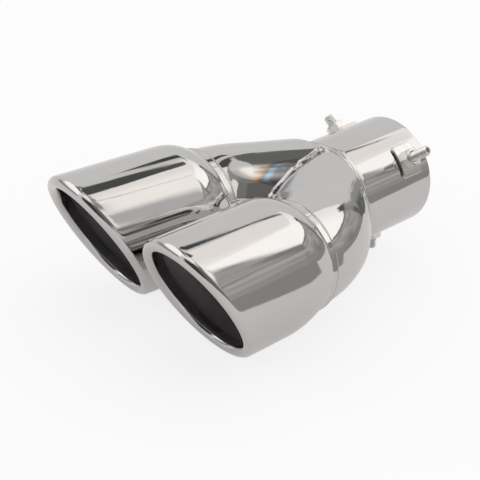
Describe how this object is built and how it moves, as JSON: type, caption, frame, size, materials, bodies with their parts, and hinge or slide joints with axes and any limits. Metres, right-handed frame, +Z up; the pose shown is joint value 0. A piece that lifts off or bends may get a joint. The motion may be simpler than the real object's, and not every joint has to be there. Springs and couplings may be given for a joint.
{
  "type": "exhaust tip",
  "caption": "Twin exhaust tip of polished steel: a round clamp-on inlet sleeve forks into two bent legs with oval slash-cut tips side by side.",
  "frame": {"origin": "centre of the inlet sleeve's open rear end", "axes": "+Y along the bore, the way the tail pipe leaves, so the outlets face -Y; +X across the two tips; +Z up"},
  "size_m": [0.1422, 0.2099, 0.0866],
  "materials": {
    "polished_steel": "mirror polished stainless steel",
    "weld": "polished weld bead",
    "fastener": "bright plated steel"
  },
  "bodies": {
    "exhaust_tip": {"inlet_sleeve": "polished_steel", "right_leg": "polished_steel", "left_leg": "polished_steel", "right_tip": "polished_steel", "left_tip": "polished_steel", "right_neck_weld": "weld", "left_neck_weld": "weld", "sleeve_weld": "weld", "leg_seam_weld": "weld", "right_clamp_pad": "polished_steel", "right_clamp_nut": "fastener", "left_clamp_pad": "polished_steel", "left_clamp_nut": "fastener", "bottom_clamp_pad": "polished_steel", "bottom_clamp_nut": "fastener"},
    "right_screw": {"right_clamp_screw": "fastener"},
    "left_screw": {"left_clamp_screw": "fastener"},
    "bottom_screw": {"bottom_clamp_screw": "fastener"}
  },
  "joints": [
    {"name": "right_screw_travel", "type": "slide", "parent": "exhaust_tip", "child": "right_screw", "axis": [0.7547, 0, 0.6561], "range_m": [-0.01125, 0.00075]},
    {"name": "left_screw_travel", "type": "slide", "parent": "exhaust_tip", "child": "left_screw", "axis": [-0.848, 0, 0.5299], "range_m": [-0.00625, 0.00575]},
    {"name": "bottom_screw_travel", "type": "slide", "parent": "exhaust_tip", "child": "bottom_screw", "axis": [0.1564, 0, -0.9877], "range_m": [-0.00675, 0.00525]}
  ]
}
